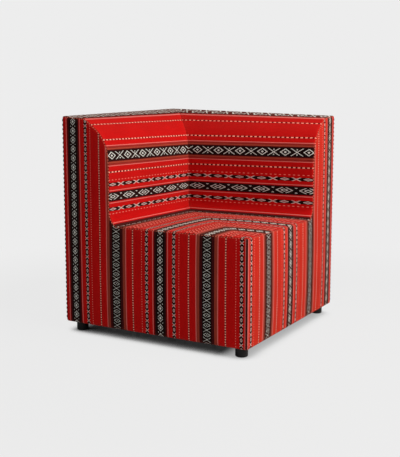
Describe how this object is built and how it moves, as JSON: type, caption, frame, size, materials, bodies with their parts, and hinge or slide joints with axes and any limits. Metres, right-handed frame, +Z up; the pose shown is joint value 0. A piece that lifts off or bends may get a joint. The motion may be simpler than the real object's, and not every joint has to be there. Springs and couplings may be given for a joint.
{
  "type": "corner seat module",
  "caption": "Square upholstered corner module of a majlis seating run, with a fixed seat, two mitred backs, a striped woven cover and low round feet.",
  "frame": {"origin": "on the floor, under the middle of the square plan", "axes": "+Z up; -Y towards the front open side of the seat; +X towards the right open side; the backs stand along the -X and +Y sides"},
  "size_m": [0.75, 0.75, 0.795],
  "materials": {
    "woven_cover": "woven, red with black, white and pink stripes",
    "foot_plastic": "satin black",
    "pine": "planed softwood",
    "plywood": "sanded plywood",
    "foam": "open-cell foam and wadding",
    "webbing": "elastic webbing",
    "lining_cloth": "thin non-woven cloth",
    "zinc_steel": "zinc plated"
  },
  "bodies": {
    "root": {"back_stud_left": "pine", "back_stud_rear": "pine", "base_rail_front": "pine", "base_rail_left": "pine", "base_rail_rear": "pine", "base_rail_right": "pine", "cover_front": "woven_cover", "cover_left_inner": "woven_cover", "cover_left_outer": "woven_cover", "cover_rear_inner": "woven_cover", "cover_rear_outer": "woven_cover", "cover_right": "woven_cover", "cover_seat_front": "woven_cover", "cover_seat_right": "woven_cover", "deck_cloth": "lining_cloth", "dust_cover": "lining_cloth", "end_board_left_back": "plywood", "end_board_rear_back": "plywood", "end_pad_left_back": "foam", "end_pad_rear_back": "foam", "foot_front_left": "foot_plastic", "foot_front_right": "foot_plastic", "foot_rear_left": "foot_plastic", "foot_rear_right": "foot_plastic", "foot_studs": "zinc_steel", "frame_screws": "zinc_steel", "inner_board_left": "plywood", "inner_board_rear": "plywood", "left_back_foam": "foam", "outer_board_front": "plywood", "outer_board_left": "plywood", "outer_board_rear": "plywood", "outer_board_right": "plywood", "post_front_left": "pine", "post_front_right": "pine", "post_rear_left": "pine", "post_rear_right": "pine", "rear_back_foam": "foam", "seat_batten_left": "pine", "seat_batten_rear": "pine", "seat_foam": "foam", "seat_rail_front": "pine", "seat_rail_right": "pine", "seat_wadding": "foam", "side_pad_front": "foam", "side_pad_left": "foam", "side_pad_rear": "foam", "side_pad_right": "foam", "threaded_inserts": "zinc_steel", "top_pad_left_back": "foam", "top_pad_rear_back": "foam", "top_rail_left": "pine", "top_rail_rear": "pine", "webbing_along_x": "webbing", "webbing_along_y": "webbing", "webbing_staples": "zinc_steel"}
  },
  "joints": []
}
